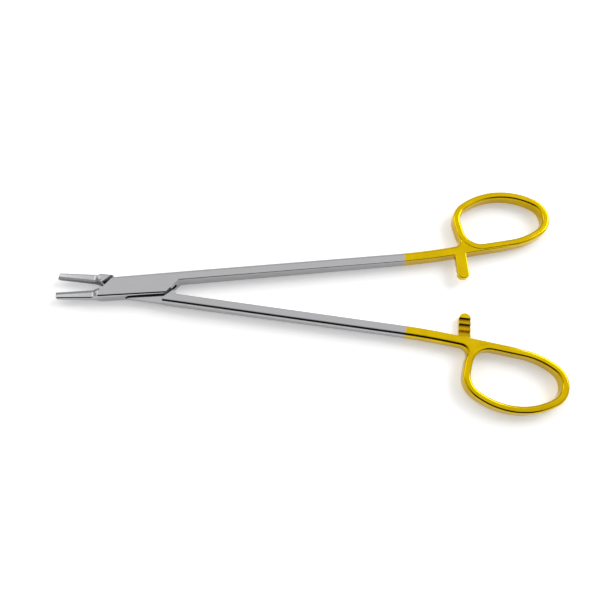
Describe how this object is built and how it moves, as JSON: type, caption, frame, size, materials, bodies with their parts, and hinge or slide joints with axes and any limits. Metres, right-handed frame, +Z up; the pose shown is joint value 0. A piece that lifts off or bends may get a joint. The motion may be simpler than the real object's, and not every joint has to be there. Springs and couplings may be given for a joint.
{
  "type": "surgical needle holder",
  "caption": "Box-lock surgical needle holder with short straight carbide-faced jaws, slim shanks, ratchet tabs and gold-plated finger rings.",
  "frame": {"origin": "the pin's axis, at the flat underside of the box lock that the holder lies on", "axes": "+X along the axis of symmetry from the lock to the finger rings, +Y towards the box arm's ring, +Z up along the pin's axis"},
  "size_m": [0.1776, 0.0828, 0.0056],
  "materials": {
    "forged_steel": "fine satin stainless steel, gold plated and polished on the handles from before the ratchet tab to the finger ring",
    "pin_steel": "satin stainless steel, ground flush with the lock",
    "carbide": "sintered tungsten carbide, cross-grooved gripping face"
  },
  "bodies": {
    "box_side": {"box_arm": "forged_steel", "pivot_pin": "pin_steel", "box_jaw_insert": "carbide"},
    "through_side": {"through_arm": "forged_steel", "through_jaw_insert": "carbide"}
  },
  "joints": [
    {"name": "lock_hinge", "type": "hinge", "parent": "box_side", "child": "through_side", "pos_m": [0, 0, 0], "axis": [0, 0, 1], "range_deg": [-26, 10]}
  ]
}
